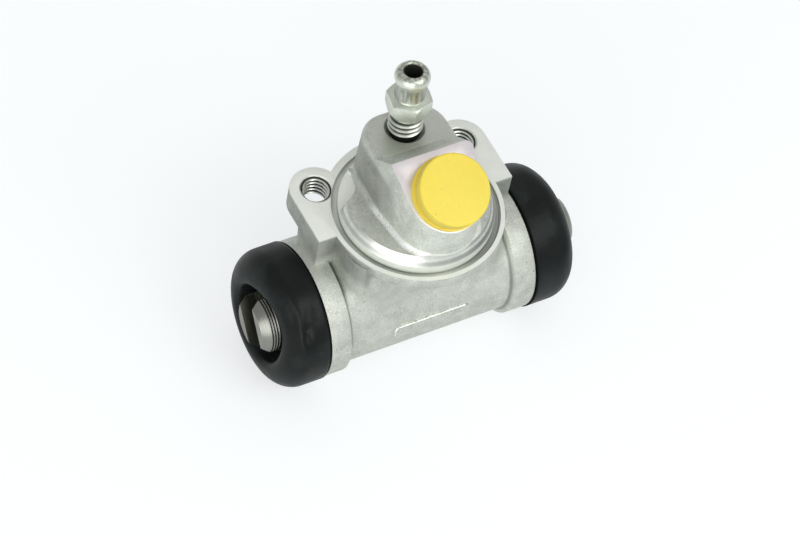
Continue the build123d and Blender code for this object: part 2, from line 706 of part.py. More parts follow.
def port_plug():
    """Moulded transit plug: hollow stem, sealing flange and round head."""
    stem = PORT_BORE_DIAMETER / 2 - PLUG_STEM_CLEARANCE
    flange_top = PLUG_SEAT_GAP + PLUG_FLANGE_THICKNESS
    neck_top = flange_top + PLUG_NECK_HEIGHT
    head_top = neck_top + PLUG_HEAD_HEIGHT
    head = PLUG_HEAD_DIAMETER / 2
    round_edge = PLUG_HEAD_EDGE_RADIUS
    inset = round_edge * (1 - sqrt(0.5))
    hollow = stem - PLUG_WALL
    lower = Polyline(
        (0, PLUG_SEAT_GAP),
        (hollow, PLUG_SEAT_GAP),
        (hollow, -PLUG_STEM_LENGTH),
        (stem - PLUG_STEM_CLEARANCE, -PLUG_STEM_LENGTH),
        (stem, -PLUG_STEM_LENGTH + PLUG_WALL / 2),
        (stem, PLUG_SEAT_GAP),
        (PLUG_FLANGE_DIAMETER / 2, PLUG_SEAT_GAP),
        (PLUG_FLANGE_DIAMETER / 2, flange_top),
        (PLUG_NECK_DIAMETER / 2, flange_top),
        (PLUG_NECK_DIAMETER / 2, neck_top),
        (head, neck_top),
        (head, head_top - round_edge),
    )
    edge = ThreePointArc(
        (head, head_top - round_edge), (head - inset, head_top - inset), (head - round_edge, head_top)
    )
    upper = Polyline((head - round_edge, head_top), (0, head_top), (0, PLUG_SEAT_GAP))
    return port_plane() * revolve(Plane.XZ * make_face(lower + edge + upper), Axis.Z)


def build_parts():
    parts = {
        "cylinder_body": cylinder_body(),
        "return_spring": return_spring(),
        "bleed_screw": bleed_screw(),
        "port_plug": port_plug(),
    }
    ends = (
        ("left", -1, LEFT_TIP_X, LEFT_SLOT_TURN, LEFT_BOOT_FRONT_X),
        ("right", 1, RIGHT_TIP_X, RIGHT_SLOT_TURN, RIGHT_BOOT_FRONT_X),
    )
    for name, side, tip_x, slot_turn, front_x in ends:
        parts[name + "_piston"] = piston(side, tip_x, slot_turn)
        parts[name + "_cup_seal"] = cup_seal(side, tip_x)
        parts[name + "_cup_expander"] = cup_expander(side, tip_x)
        parts[name + "_dust_boot"] = dust_boot(side, tip_x, front_x)
    return parts


os.makedirs("parts", exist_ok=True)
for node, shape in build_parts().items():
    export_step(shape, os.path.join("parts", node + ".step"))
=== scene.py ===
"""Drum brake wheel cylinder: finishes, threads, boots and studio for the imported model."""

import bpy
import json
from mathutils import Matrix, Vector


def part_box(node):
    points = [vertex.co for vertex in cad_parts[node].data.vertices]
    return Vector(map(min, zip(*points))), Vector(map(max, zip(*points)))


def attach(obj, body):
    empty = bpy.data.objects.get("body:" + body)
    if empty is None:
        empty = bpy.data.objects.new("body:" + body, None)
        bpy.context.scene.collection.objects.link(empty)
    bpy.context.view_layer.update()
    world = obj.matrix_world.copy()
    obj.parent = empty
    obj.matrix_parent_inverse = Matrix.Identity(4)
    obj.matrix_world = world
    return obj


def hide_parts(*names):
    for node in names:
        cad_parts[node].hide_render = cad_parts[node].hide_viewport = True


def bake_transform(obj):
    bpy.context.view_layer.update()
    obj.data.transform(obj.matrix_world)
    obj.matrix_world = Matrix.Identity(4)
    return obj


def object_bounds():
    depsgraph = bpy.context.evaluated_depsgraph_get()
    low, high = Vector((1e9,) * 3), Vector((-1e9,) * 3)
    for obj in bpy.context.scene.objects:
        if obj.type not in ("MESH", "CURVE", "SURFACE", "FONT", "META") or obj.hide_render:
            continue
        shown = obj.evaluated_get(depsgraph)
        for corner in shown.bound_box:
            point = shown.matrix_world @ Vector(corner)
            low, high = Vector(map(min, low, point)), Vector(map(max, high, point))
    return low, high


bl_info = {
    "name": "Drum brake wheel cylinder",
    "version": (1, 0, 0),
    "blender": (4, 5, 0),
    "location": "View3D > Sidebar > Wheel cylinder",
    "description": "Builds the visible pieces and finishes of a drum brake wheel cylinder",
    "category": "Add Mesh",
}

import json
import math

import bmesh
import bpy
from bpy.props import FloatProperty, FloatVectorProperty, PointerProperty
from mathutils import Matrix, Vector

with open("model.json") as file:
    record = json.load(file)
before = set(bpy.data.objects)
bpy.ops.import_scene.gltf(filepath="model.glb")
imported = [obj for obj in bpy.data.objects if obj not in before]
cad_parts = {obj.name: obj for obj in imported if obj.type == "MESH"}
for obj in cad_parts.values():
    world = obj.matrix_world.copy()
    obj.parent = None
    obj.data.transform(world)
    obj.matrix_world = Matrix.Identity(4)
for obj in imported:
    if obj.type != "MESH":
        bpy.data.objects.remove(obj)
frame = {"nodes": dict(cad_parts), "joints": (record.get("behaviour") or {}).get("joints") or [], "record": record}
cad_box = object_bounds()

MM = 0.001
TAU = 2 * math.pi

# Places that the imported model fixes, in metres
mounts = {mount["name"]: mount for mount in frame["record"]["mounts"]}
joints = {joint["name"]: joint for joint in frame["joints"]}
bore_low, bore_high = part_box("left_piston")
BORE_CENTRE = Vector((0, 0, (bore_low.z + bore_high.z) / 2))
BORE_RADIUS = (bore_high.z - bore_low.z) / 2
PILOT_RADIUS = mounts["pilot"]["dims"]["r_mm"] * MM
HOLE_CENTRE = Vector(mounts["mounting_holes"]["pos_m"])
HOLE_CENTRE_X = mounts["mounting_holes"]["dims"]["spacing_x_mm"] * MM / 2
HOLE_RADIUS = mounts["mounting_holes"]["dims"]["hole_r_mm"] * MM
BLEED_FOOT = Vector(joints["bleed_screw_turn"]["pos_m"])
BLEED_AXIS = Vector(joints["bleed_screw_turn"]["axis"])
PORT_AXIS = Vector(joints["port_plug_pull"]["axis"])
PORT_FOOT = Vector(joints["port_plug_pull"]["pos_m"])

# Places that the solids have and the record doesn't name
SLAB_TOP = 3.2 * MM
PILOT_CONE_WIDTH = 1.3 * MM
PAD_RADIUS = 17.0 * MM
GROOVE_FLOOR = -0.9 * MM
RIDGE_Y = -0.4 * MM
RAMP_END_Y = 3.6 * MM
REAR_TOP_LOW = 11.0 * MM
BLOCK_SHOULDER = 13.5 * MM
EAR_INNER_X = 15.0 * MM
HOLE_CHAMFER = 0.4 * MM
SPOT_FACE_RADIUS = 7.6 * MM
COLLAR_FOOT_X = 17.9 * MM
BARREL_RADIUS = 12.7 * MM
BORE_CHAMFER = 0.6 * MM
BAR_HALF_LENGTH = 8.5 * MM
BAR_HALF_WIDTH = 2.6 * MM
BAR_HEIGHT = 0.44 * MM
BAR_BACK_Y = -12.0 * MM
SCREW_CORE_RADIUS = 3.0 * MM
SCREW_HEX_FOOT = 4.6 * MM
SCREW_HEX_TOP = 9.5 * MM
SCREW_BEAD_FOOT = 13.4 * MM
SCREW_BEAD_TOP = 16.3 * MM
SCREW_BORE_RADIUS = 1.9 * MM
PISTON_SLOT_DEPTH = 5.0 * MM
PISTON_SLOT_REACH = 4.5 * MM
STUB_RADIUS = 12.15 * MM
STUB_END = 26.25 * MM
LIP_SETBACK = 5.8 * MM
SURFACE_GAP = 0.05 * MM

# Threads: where they start and end, and how far their roots sink into the wall
EAR_THREAD_START = -4.7 * MM
EAR_THREAD_END = -0.25 * MM
EAR_THREAD_SINK = 0.03 * MM
SCREW_THREAD_START = 0.1 * MM
SCREW_THREAD_END = SCREW_HEX_FOOT - 0.5 * MM
SCREW_THREAD_SINK = 0.05 * MM

# Direction of the painted darker reflection on the turned rings, about Z from +X
DARK_REFLECTION_DIRECTION = math.radians(-46.0)

# The casting's finishes, in the order of its material slots
CAST, TURNED, PORT, TOP, WORN_AND_HIGHLIT, TAPPED = range(6)

# Places where the boots are pressed in: distance along the bore in mm, direction round the
# bore in degrees (0 at -Y, 90 at +Z), half width along and round, and share of the depth
LEFT_DENTS = ((27.6, 38.0, 0.9, 9.0, 1.0), (30.2, 52.0, 1.4, 10.0, 0.8), (26.3, 52.0, 0.8, 8.0, 0.5))
RIGHT_DENTS = ((29.0, 40.0, 1.5, 10.0, 0.5),)

# Where the rolled fronts are set back: start and end along the bore in mm, direction and
# half width in degrees, and how far in mm
LEFT_PUSHES = ((28.0, 32.0, 45.0, 55.0, 1.7),)
RIGHT_PUSHES = ((30.5, 33.3, 150.0, 30.0, 0.6),)


def colour(name, description, default):
    return FloatVectorProperty(
        name=name, description=description, subtype="COLOR", size=3, min=0.0, max=1.0, default=default
    )


def length(name, description, default, least=0.0):
    return FloatProperty(
        name=name, description=description, default=default, min=least, unit="LENGTH", precision=5
    )


def share(name, description, default):
    return FloatProperty(name=name, description=description, default=default, min=0.0, max=1.0)


def angle(name, description, degrees):
    return FloatProperty(
        name=name, description=description, default=math.radians(degrees), subtype="ANGLE"
    )


def amount(name, description, default, unit="NONE"):
    return FloatProperty(name=name, description=description, default=default, min=0.0, unit=unit)


class CastingSettings(bpy.types.PropertyGroup):
    """Finish of the aluminium casting."""

    skin_colour: colour("Cast skin", "Colour of the as-cast surfaces", (0.68, 0.705, 0.635))
    turned_colour: colour("Turned metal", "Colour of the turned faces", (0.95, 0.98, 0.90))
    port_colour: colour("Port face", "Colour of the milled port face", (0.85, 0.80, 0.81))
    # Painted shade: the block's rear top gets a darker colour than the skin
    top_shade_colour: colour("Block top", "Colour of the block's rear top", (0.62, 0.64, 0.57))
    # Painted light: how much brighter the ramp beside the rear top is made
    ramp_painted_light: amount("Ramp lift", "Brightness of the ramp beside the rear top", 1.5)
    # Painted shade: near-black colour between the thread's crests
    root_shade_colour: colour("Thread roots", "Dark colour between the thread's crests", (0.025, 0.025, 0.02))
    mark_pitch: length("Mark pitch", "Spacing of the lathe marks", 0.00032)
    # Painted shade: how dark the band on the barrel beside each collar's step is
    seam_shade: share("Seam dirt", "How dark the dirt beside the collars is", 0.7)
    # Painted shade: how dark the block's rear walls and the ears' sides are made
    wall_shade_tone: share("Wall tone", "Brightness of the block's rear walls and the ears' sides", 0.62)
    # Painted light: how much brighter the block's nose is made
    nose_painted_light: share("Nose shine", "How much brighter the block's nose is", 0.17)
    # Painted highlight: how much brighter the round at the block's foot is made
    foot_painted_highlight: share("Foot shine", "How much brighter the round at the block's foot is", 0.6)
    edge_radius: length("Edge radius", "Rounding of the casting's edges", 0.0002)
    grain_size: length("Grain size", "Width of the casting's grain", 0.0003)


class ThreadSettings(bpy.types.PropertyGroup):
    """Threads of the mounting holes and the bleed screw."""

    mount_pitch: length("Mounting pitch", "Pitch of the mounting threads", 0.001)
    mount_depth: length("Mounting depth", "Depth of the mounting threads", 0.0006)
    bleed_pitch: length("Bleed pitch", "Pitch of the bleed screw's thread", 0.00125)
    bleed_depth: length("Bleed depth", "Depth of the bleed screw's thread", 0.0005)


class ScrewSettings(bpy.types.PropertyGroup):
    """Finish of the bleed screw."""

    plate_colour: colour("Plating", "Colour of the zinc plating", (0.78, 0.82, 0.72))
    stain_colour: colour("Stain", "Darker olive tone on the bead", (0.36, 0.37, 0.31))
    edge_radius: length("Edge radius", "Rounding of the screw's edges", 0.0001)


class PlugSettings(bpy.types.PropertyGroup):
    """Finish of the transit plug."""

    plug_colour: colour("Plastic", "Colour of the plug", (0.97, 0.77, 0.09))
    edge_radius: length("Edge radius", "Rounding of the plug's edges", 0.00012)


class PistonSettings(bpy.types.PropertyGroup):
    """Finish of the two pistons."""

    steel_colour: colour("Steel", "Colour of the turned steel", (0.34, 0.345, 0.31))
    # Painted shade: the slot's faces get a far darker colour than the steel
    slot_shade_colour: colour("Slot", "Colour inside the shaded slot", (0.09, 0.09, 0.07))
    edge_radius: length("Edge radius", "Rounding of the piston's edges", 0.00009)
    mark_pitch: length("Mark pitch", "Spacing of the lathe marks", 0.00018)


class BootSettings(bpy.types.PropertyGroup):
    """Shape and finish of the two dust boots."""

    rubber_colour: colour("Rubber", "Colour of the boots", (0.0045, 0.0065, 0.006))
    dust_colour: colour("Dust", "Colour of the bloom on the rubber", (0.038, 0.052, 0.047))
    dust: share("Dust share", "How much bloom shows", 0.3)
    sheen: share("Sheen", "How strongly the rubber shines", 0.22)
    wall: length("Wall", "Thickness of the rubber", 0.0016)
    roll_radius: length("Roll radius", "Radius of the rolled front", 0.005)
    fold_radius: length("Fold radius", "Radius where the front turns inwards", 0.0013)
    lip_radius: length("Lip radius", "Inner radius of the lip on the piston", 0.0054)
    lip_length: length("Lip length", "Width of the lip along the bore", 0.0013)
    funnel_radius: length("Funnel radius", "Radius of the funnel where it meets the lip", 0.007)
    dent_depth: length("Dent depth", "Depth of the pressed-in places", 0.0009)


class InnerSettings(bpy.types.PropertyGroup):
    """Finish of the pieces inside the bore."""

    cup_colour: colour("Cup rubber", "Colour of the cup seals", (0.02, 0.02, 0.022))
    sheet_colour: colour("Pressed sheet", "Colour of the expanders", (0.6, 0.6, 0.58))
    spring_colour: colour("Spring", "Colour of the spring wire", (0.42, 0.42, 0.42))


class StageSettings(bpy.types.PropertyGroup):
    """Camera and studio."""

    azimuth: angle("Azimuth", "Turn of the camera about Z", -37.84)
    elevation: angle("Elevation", "Camera above the horizon", 52.74)
    roll: angle("Roll", "Turn of the picture", 12.68)
    distance: length("Distance", "Camera to the bore's centre along its view", 0.7949)
    slide_right: length("Slide right", "Bore centre right of the picture's middle", 0.00019, -1.0)
    slide_up: length("Slide up", "Bore centre above the picture's middle", -0.00154, -1.0)
    focal_length: amount("Focal length", "Lens on a 36 mm sensor", 180.0, "CAMERA")
    floor_colour: colour("Floor", "Colour of the floor", (0.43, 0.46, 0.47))
    floor_glow: share("Floor glow", "Share of white that the floor shows by itself", 0.62)
    floor_shine: share("Floor shine", "Share of white that the floor sends to shiny faces", 0.45)
    key_strength: amount("Key light", "Power of the high soft light", 2.0, "POWER")
    side_strength: amount("Side light", "Power of the low light at the left", 4.9, "POWER")
    back_strength: amount("Back light", "Power of the high light behind", 0.3, "POWER")
    sky_strength: amount("Sky", "Strength of the even light all round", 0.49)


def feed(tree, socket, value):
    """Link a node's output to the socket, or set the socket's own value."""
    if isinstance(value, bpy.types.NodeSocket):
        tree.links.new(value, socket)
    elif socket.type == "RGBA":
        socket.default_value = (*value, 1.0)
    else:
        socket.default_value = value


def node(tree, kind, inputs=None, **settings):
    """New shader node with its settings and its inputs, by socket name or number."""
    made = tree.nodes.new("ShaderNode" + kind)
    for name, value in settings.items():
        setattr(made, name, value)
    for key, value in (inputs or {}).items():
        feed(tree, made.inputs[key], value)
    return made


def maths(tree, operation, first, second=0.0):
    return node(tree, "Math", {0: first, 1: second}, operation=operation).outputs[0]


def product(tree, first, *others):
    """All the values multiplied."""
    for other in others:
        first = maths(tree, "MULTIPLY", first, other)
    return first


def remap(tree, value, low, high, to_low=0.0, to_high=1.0):
    """Value between low and high, stretched to the new range and kept inside it."""
    limits = {0: value, 1: low, 2: high, 3: to_low, 4: to_high}
    return node(tree, "MapRange", limits, clamp=True).outputs[0]


def mix(tree, share_of_second, first, second):
    """Colour between the two."""
    return node(tree, "Mix", {0: share_of_second, 6: first, 7: second}, data_type="RGBA").outputs[2]


def overlay(tree, base, mask, strength, second):
    """Base colour with the second one over it where the mask is."""
    return mix(tree, product(tree, mask, strength), base, second)


def scaled(tree, tone, factor):
    """Colour made that much brighter."""
    return node(tree, "VectorMath", {0: tone, "Scale": factor}, operation="SCALE").outputs[0]


def distance_from_zero(tree, *parts):
    """Length of the vector with those two parts."""
    flat = node(tree, "CombineXYZ", dict(enumerate(parts))).outputs[0]
    return node(tree, "VectorMath", {0: flat}, operation="LENGTH").outputs["Value"]


def noise(tree, vector, size, detail=2.0, roughness=0.5):
    """Noise whose features are about that wide."""
    scale = maths(tree, "DIVIDE", 1.0, size) if isinstance(size, bpy.types.NodeSocket) else 1.0 / size
    inputs = {"Vector": vector, "Scale": scale, "Detail": detail, "Roughness": roughness}
    return node(tree, "TexNoise", inputs).outputs[0]


def noise_line(tree, value, scale, detail=2.0):
    """Noise along a single value."""
    inputs = {"W": value, "Scale": scale, "Detail": detail}
    return node(tree, "TexNoise", inputs, noise_dimensions="1D").outputs[0]


def new_group(name, inputs, outputs):
    """Empty shader group. Inputs and outputs give each socket's name and its kind."""
    tree = bpy.data.node_groups.new(name, "ShaderNodeTree")
    for direction, sockets in (("INPUT", inputs), ("OUTPUT", outputs)):
        for socket, kind in sockets.items():
            tree.interface.new_socket(socket, in_out=direction, socket_type="NodeSocket" + kind)
    return tree, tree.nodes.new("NodeGroupInput").outputs, tree.nodes.new("NodeGroupOutput").inputs


def grain_group():
    """Grain of a cast or blasted skin: a mottled tone, sparse specks and a height."""
    made = {"Tone": "Float", "Speck": "Float", "Height": "Float"}
    tree, given, result = new_group("grain", {"Vector": "Vector", "Size": "Float"}, made)
    fine = noise(tree, given["Vector"], given["Size"], 3.0, 0.62)
    broad = noise(tree, given["Vector"], product(tree, given["Size"], 9.0), 2.0)
    both = maths(tree, "ADD", product(tree, fine, 0.6), product(tree, broad, 0.4))
    cell_scale = maths(tree, "DIVIDE", 0.55, given["Size"])
    cells = node(tree, "TexVoronoi", {"Vector": given["Vector"], "Scale": cell_scale})
    chosen = node(tree, "SeparateColor", {0: cells.outputs["Color"]}).outputs[0]
    near = remap(tree, cells.outputs["Distance"], 0.12, 0.3, 1.0, 0.0)
    feed(tree, result["Tone"], remap(tree, both, 0.32, 0.68))
    feed(tree, result["Speck"], product(tree, near, remap(tree, chosen, 0.72, 0.78)))
    feed(tree, result["Height"], fine)
    return tree


def lathe_group():
    """Fine rings that a lathe leaves round the vector's Z axis."""
    made = {"Tone": "Float", "Height": "Float"}
    tree, given, result = new_group("lathe_marks", {"Vector": "Vector", "Pitch": "Float"}, made)
    parts = node(tree, "SeparateXYZ", {0: given["Vector"]}).outputs
    radius = distance_from_zero(tree, parts[0], parts[1])
    along = maths(tree, "DIVIDE", maths(tree, "ADD", radius, parts[2]), given["Pitch"])
    rings = noise_line(tree, along, 1.0)
    feed(tree, result["Tone"], remap(tree, rings, 0.3, 0.7))
    feed(tree, result["Height"], rings)
    return tree


def scuff_group():
    """Sparse marks from handling: short scratches and small knocks."""
    made = {"Scratch": "Float", "Knock": "Float"}
    tree, given, result = new_group("scuffs", {"Vector": "Vector", "Size": "Float"}, made)
    stretched = node(tree, "Mapping", {"Vector": given["Vector"], "Scale": (1.0, 0.12, 0.3)}).outputs[0]
    lines = noise(tree, stretched, given["Size"], 1.0)
    where = noise(tree, given["Vector"], product(tree, given["Size"], 14.0), 2.0)
    knocks = noise(tree, given["Vector"], product(tree, given["Size"], 2.2), 1.0)
    scratch = product(tree, remap(tree, lines, 0.66, 0.74), remap(tree, where, 0.52, 0.6))
    feed(tree, result["Scratch"], scratch)
    feed(tree, result["Knock"], remap(tree, knocks, 0.74, 0.79))
    return tree


def group_node(tree, name, inputs):
    """Place one of the shared groups in a material; each group is built once."""
    group = bpy.data.node_groups.get(name) or GROUPS[name]()
    made = tree.nodes.new("ShaderNodeGroup")
    made.node_tree = group
    for key, value in inputs.items():
        feed(tree, made.inputs[key], value)
    return made.outputs


GROUPS = {"grain": grain_group, "lathe_marks": lathe_group, "scuffs": scuff_group}


def new_material(name, base, roughness, metallic=0.0):
    """Material with its Principled shader and the object's own coordinates."""
    material = bpy.data.materials.new(name)
    material.use_nodes = True
    tree = material.node_tree
    shader = tree.nodes["Principled BSDF"].inputs
    feed(tree, shader["Base Color"], base)
    shader["Roughness"].default_value = roughness
    shader["Metallic"].default_value = metallic
    place = node(tree, "TexCoord").outputs["Object"]
    return material, tree, shader, place


def add_bump(tree, shader, height, depth, strength=1.0):
    """Bump of that depth in metres, where the height is between 0 and 1."""
    inputs = {"Height": height, "Distance": depth, "Strength": strength}
    feed(tree, shader["Normal"], node(tree, "Bump", inputs).outputs[0])


def turned_about(tree, place, centre, axis):
    """Coordinates whose Z runs along that axis through the centre."""
    turn = axis.rotation_difference(Vector((0, 0, 1)))
    moved = node(tree, "Mapping", {"Vector": place, "Location": tuple(-centre)}).outputs[0]
    return node(tree, "Mapping", {"Vector": moved, "Rotation": tuple(turn.to_euler())}).outputs[0]


def cast_material(settings):
    """Cast skin, by place: painted shade on the walls, the ears and beside the collars, painted light on the nose
    and a painted highlight on the foot.
    """
    material, tree, shader, place = new_material("cast_skin", settings.skin_colour, 0.5, 0.75)
    grain = group_node(tree, "grain", {"Vector": place, "Size": settings.grain_size})
    scuffs = group_node(tree, "scuffs", {"Vector": place, "Size": 0.3 * MM})
    skin = Vector(settings.skin_colour)
    base = mix(tree, grain["Tone"], skin * 0.74, skin * 1.14)
    base = overlay(tree, base, grain["Speck"], 0.6, skin * 1.4)
    base = overlay(tree, base, scuffs["Scratch"], 0.5, skin * 0.45)
    base = overlay(tree, base, scuffs["Knock"], 0.6, skin * 0.4)
    across, along, height = node(tree, "SeparateXYZ", {0: place}).outputs
    from_middle = maths(tree, "ABSOLUTE", across)
    from_collar = maths(tree, "ABSOLUTE", maths(tree, "SUBTRACT", from_middle, COLLAR_FOOT_X))
    from_bore = distance_from_zero(tree, along, maths(tree, "SUBTRACT", height, BORE_CENTRE.z))
    # Painted shade: a dark band on the barrel beside each collar's step
    painted_shade = product(
        tree,
        remap(tree, from_collar, 0.45 * MM, 0.1 * MM),
        remap(tree, from_bore, BARREL_RADIUS + 0.9 * MM, BARREL_RADIUS + 0.3 * MM),
    )
    base = overlay(tree, base, painted_shade, settings.seam_shade, skin * 0.3)
    # Painted shade on the block's rear walls and under the ears
    on_wall = product(
        tree,
        remap(tree, along, RIDGE_Y - 5 * MM, RIDGE_Y + 2 * MM),
        remap(tree, height, SLAB_TOP + 0.2 * MM, SLAB_TOP + 1.5 * MM),
        remap(tree, height, BLOCK_SHOULDER, BLOCK_SHOULDER - 1.5 * MM),
    )
    on_ear = product(
        tree,
        remap(tree, height, -0.2 * MM, -0.6 * MM),
        remap(tree, height, -7.5 * MM, -5 * MM),
        remap(tree, from_middle, EAR_INNER_X - MM, EAR_INNER_X),
    )
    # Painted light: the block's nose is brightened
    on_nose = product(
        tree,
        remap(tree, along, RIDGE_Y - 2 * MM, RIDGE_Y - 6 * MM),
        remap(tree, height, SLAB_TOP, SLAB_TOP + 1.5 * MM),
    )
    # Painted highlight along the round at the block's foot, broken by the grain
    on_foot = product(
        tree,
        remap(tree, height, SLAB_TOP + 0.03 * MM, SLAB_TOP + 0.15 * MM),
        remap(tree, height, SLAB_TOP + 1.2 * MM, SLAB_TOP + 0.7 * MM),
        remap(tree, along, RIDGE_Y + 3 * MM, RIDGE_Y),
        remap(tree, grain["Height"], 0.35, 0.55, 0.5, 1.0),
    )
    painted_wall_shade = remap(tree, maths(tree, "MAXIMUM", on_wall, on_ear), 0.0, 1.0, 1.0, settings.wall_shade_tone)
    nose = product(tree, on_nose, settings.nose_painted_light)
    foot = product(tree, on_foot, settings.foot_painted_highlight)
    # Painted shade and painted light scale the skin's colour by place
    tone = maths(tree, "ADD", painted_wall_shade, maths(tree, "ADD", nose, foot))
    feed(tree, shader["Base Color"], scaled(tree, base, tone))
    feed(tree, shader["Roughness"], remap(tree, grain["Tone"], 0.0, 1.0, 0.56, 0.44))
    add_bump(tree, shader, grain["Height"], 0.09 * MM)
    return material


def turned_material(settings):
    """Turned faces: smooth on the level, ringed on the cone and in the groove, with painted reflections round the
    rings and painted shade in the groove.
    """
    material, tree, shader, place = new_material("turned_face", settings.turned_colour, 0.26, 0.95)
    marks = group_node(tree, "lathe_marks", {"Vector": place, "Pitch": settings.mark_pitch})
    grain = group_node(tree, "grain", {"Vector": place, "Size": settings.grain_size})
    bright = Vector(settings.turned_colour)
    across, along, height = node(tree, "SeparateXYZ", {0: place}).outputs
    on_cone = remap(tree, height, MM, 1.4 * MM)
    in_groove = remap(tree, height, -0.2 * MM, -0.7 * MM)
    ringed = maths(tree, "MAXIMUM", on_cone, in_groove)
    around = maths(tree, "ARCTAN2", along, across)
    # Painted reflection: darker sectors at random angles round the rings
    glints = remap(tree, noise_line(tree, around, 1.7), 0.55, 0.35)
    lines = mix(tree, marks["Tone"], bright * 0.6, bright * 1.05)
    lines = overlay(tree, lines, glints, 0.35, bright * 0.35)
    # Painted shade: darker in the groove
    lines = overlay(tree, lines, in_groove, 0.5, bright * 0.35)
    # Painted reflection: one side of the rings darker, broken along the lathe marks
    from_dark_reflection = maths(tree, "ABSOLUTE", maths(tree, "SUBTRACT", around, DARK_REFLECTION_DIRECTION))
    painted_dark_reflection = remap(tree, from_dark_reflection, 0.85, 0.3)
    streaked = remap(tree, marks["Tone"], 0.0, 1.0, 0.85, 0.3)
    lines = overlay(tree, lines, painted_dark_reflection, streaked, bright * 0.16)
    level = mix(tree, grain["Tone"], bright * 0.95, bright * 1.03)
    feed(tree, shader["Base Color"], mix(tree, ringed, level, lines))
    feed(tree, shader["Roughness"], remap(tree, ringed, 0.0, 1.0, 0.42, 0.34))
    feed(tree, shader["Metallic"], remap(tree, ringed, 0.0, 1.0, 0.35, 1.0))
    add_bump(tree, shader, marks["Height"], 0.04 * MM, ringed)
    return material


def worn_and_highlit_edge_material(settings):
    """Bright broken line along the casting's edges and on the bar: partly wear, partly a painted highlight."""
    material, tree, shader, place = new_material("worn_and_highlit_edge", settings.turned_colour, 0.34, 0.9)
    broken = noise(tree, place, settings.grain_size * 1.6, 2.0, 0.6)
    skin = Vector(settings.skin_colour)
    feed(tree, shader["Base Color"], mix(tree, remap(tree, broken, 0.38, 0.6), skin * 0.75, skin * 1.5))
    add_bump(tree, shader, broken, 0.08 * MM)
    return material


def tapped_material(settings):
    """Bright thread crests over painted shade in the roots, in both mounting holes."""
    material, tree, shader, place = new_material("tapped_hole", settings.turned_colour, 0.25, 1.0)
    across, along, _ = node(tree, "SeparateXYZ", {0: place}).outputs
    from_ear = maths(tree, "SUBTRACT", maths(tree, "ABSOLUTE", across), HOLE_CENTRE_X)
    radius = distance_from_zero(tree, from_ear, maths(tree, "SUBTRACT", along, HOLE_CENTRE.y))
    # Painted shade: near black towards the thread roots
    depth = remap(tree, radius, HOLE_RADIUS - 0.5 * MM, HOLE_RADIUS - 0.25 * MM)
    feed(tree, shader["Base Color"], mix(tree, depth, settings.turned_colour, settings.root_shade_colour))
    feed(tree, shader["Metallic"], remap(tree, depth, 0.0, 1.0, 1.0, 0.2))
    feed(tree, shader["Roughness"], remap(tree, depth, 0.0, 1.0, 0.22, 0.6))
    return material


def port_material(settings):
    material, tree, shader, place = new_material("port_face", settings.port_colour, 0.4, 0.8)
    grain = group_node(tree, "grain", {"Vector": place, "Size": settings.grain_size * 0.6})
    base = Vector(settings.port_colour)
    tone = mix(tree, grain["Tone"], base * 0.94, base * 1.05)
    feed(tree, shader["Base Color"], overlay(tree, tone, grain["Speck"], 0.5, base * 0.72))
    add_bump(tree, shader, grain["Height"], 0.015 * MM)
    return material


def top_material(settings):
    # Painted shade: the rear top's colour is darker than the skin, with a finer grain
    material, tree, shader, place = new_material("block_top", settings.top_shade_colour, 0.46, 0.85)
    grain = group_node(tree, "grain", {"Vector": place, "Size": settings.grain_size * 0.8})
    base = Vector(settings.top_shade_colour)
    tone = mix(tree, grain["Tone"], base * 0.93, base * 1.07)
    tone = overlay(tree, tone, grain["Speck"], 0.3, base * 1.5)
    along = node(tree, "SeparateXYZ", {0: place}).outputs[1]
    # Painted light: the ramp beside the rear top is brightened
    painted_light = remap(tree, along, RAMP_END_Y + 0.1 * MM, RAMP_END_Y - 0.1 * MM, 1.0, settings.ramp_painted_light)
    feed(tree, shader["Base Color"], scaled(tree, tone, painted_light))
    add_bump(tree, shader, grain["Height"], 0.02 * MM)
    return material


